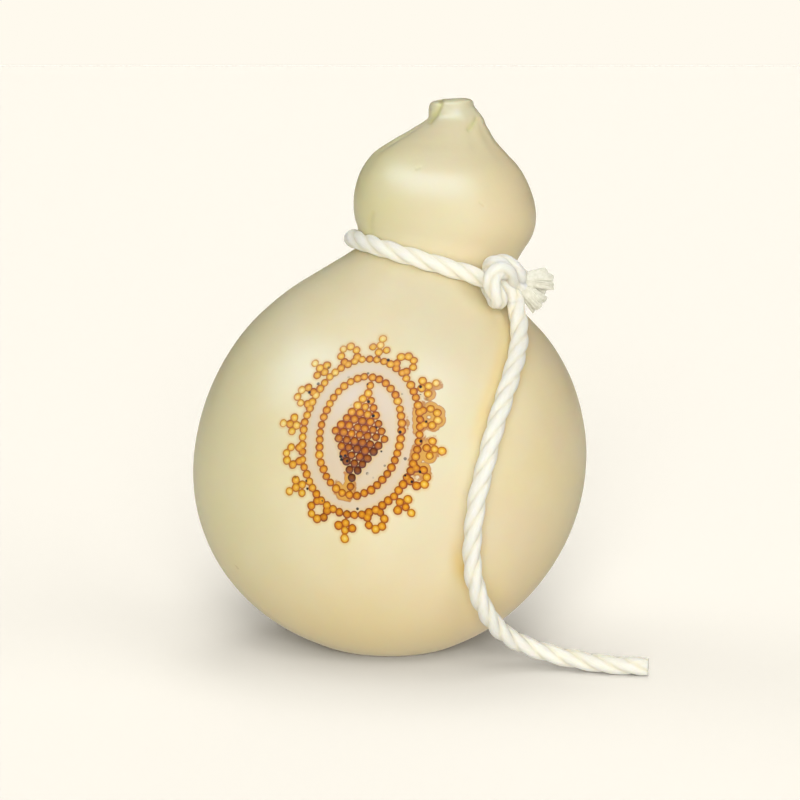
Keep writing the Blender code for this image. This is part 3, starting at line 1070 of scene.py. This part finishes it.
# ---- Floor and light -------------------------------------------------------------------------------
# A plain cream floor without an end. A wide soft light stands low in front of the cheese and weaker
# ones right, left, above and behind, six more only make its wax shine, and six light the floor alone.
# A light is its azimuth from the front to the right, its height and width in degrees, and strength.
# All the lights that reach the floor make its own colour look like CREAM.
FLOOR_HALF_SIZE = 60.0
CREAM = (1.0, 0.956, 0.855)
FLOOR_COLOUR = (0.16, 0.153, 0.1368)
FLOOR_SHARE = 0.555
DOME_STRENGTH = 0.06
HORIZON_BLUR = 0.02
LIGHTS = (
    ("front", -2, 6, 35, 2.74),
    ("right", 38, 22, 28, 0.56),
    ("above", 0, 85, 60, 0.72),
    ("left_back", -112, 22, 35, 0.45),
    ("back", 165, 32, 45, 0.7),
    ("back_low", 180, 4, 22, 1.5),
)
SHINE_COLOUR = (0.5, 0.72, 1.0)
SHINE_LIGHTS = (
    ("shine_far_left", -88, 43, 30, 1.5),
    ("shine_left", -57, 45, 30, 2.2),
    ("shine_middle", -26, 47, 30, 2.2),
    ("shine_right", 6, 47, 30, 2.2),
    ("shine_far_right", 36, 45, 30, 1.4),
    ("shine_low", 32, 5, 40, 0.9),
)
FLOOR_LIGHTS = (
    ("floor_front_low", 0, 15, 25, 20.2),
    ("floor_front", 0, 40, 25, 6.1),
    ("floor_above", 0, 85, 60, 3.67),
    ("floor_back", 180, 65, 25, 1.85),
    ("floor_right_low", 60, 25, 65, 4.0),
    ("floor_left_low", -110, 25, 60, 3.35),
)

bm = bmesh.new()
bmesh.ops.create_grid(bm, x_segments=1, y_segments=1, size=FLOOR_HALF_SIZE)
floor_mesh = bpy.data.meshes.new("floor")
bm.to_mesh(floor_mesh)
bm.free()
floor_constants = {"Roughness": 1.0, "Specular IOR Level": 0.0, "Base Color": (*FLOOR_COLOUR, 1.0)}
floor_mesh.materials.append(new_finish("plain cream floor", floor_constants)[0])
floor = bpy.data.objects.new("floor", floor_mesh)
floor.visible_diffuse = False
floor.visible_glossy = False
bpy.context.scene.collection.objects.link(floor)


def soft_light(name, azimuth, rise, width, strength):
    """A light so far away that only its direction and its width in degrees count."""
    azimuth, rise = math.radians(azimuth), math.radians(rise)
    level = math.cos(rise)
    way = Vector((math.sin(azimuth) * level, -math.cos(azimuth) * level, math.sin(rise)))
    made = bpy.data.objects.new(name, bpy.data.lights.new(name, "SUN"))
    made.data.energy = strength
    made.data.angle = math.radians(width)
    made.rotation_euler = way.to_track_quat("Z", "Y").to_euler()
    bpy.context.scene.collection.objects.link(made)
    return made


for values in LIGHTS:
    soft_light(*values).visible_glossy = False
for values in SHINE_LIGHTS:
    shine = soft_light(*values)
    shine.visible_diffuse = False
    shine.data.color = SHINE_COLOUR
floor_only = bpy.data.collections.new("floor only")
floor_only.objects.link(floor)
for values in FLOOR_LIGHTS:
    soft_light(*values).light_linking.receiver_collection = floor_only

# The camera sees the sky in the floor's cream. The cheese gets a weak dome of it from above, and from
# below what a cream floor would throw back.
world = bpy.data.worlds.new("studio")
world.use_nodes = True
world.node_tree.nodes.clear()
dome = Shade(world.node_tree)
place = dome.node("ShaderNodeTexCoord", {}, {}, output="Generated")
rise = dome.node("ShaderNodeSeparateXYZ", {}, {"Vector": place}, output="Z")
strength = rise.band(HORIZON_BLUR, -HORIZON_BLUR) * (FLOOR_SHARE - DOME_STRENGTH) + DOME_STRENGTH
lighting = dome.node("ShaderNodeBackground", {}, {"Color": (*CREAM, 1.0), "Strength": strength})
seen = dome.node("ShaderNodeBackground", {}, {"Color": (*CREAM, 1.0), "Strength": 1.0})
straight = dome.node("ShaderNodeLightPath", {}, {}, output="Is Camera Ray")
sky = dome.node("ShaderNodeMixShader", {}, {0: straight, 1: lighting, 2: seen})
sky.into(world.node_tree.nodes.new("ShaderNodeOutputWorld"), "Surface")
bpy.context.scene.world = world
bpy.context.scene.view_settings.view_transform = "Standard"
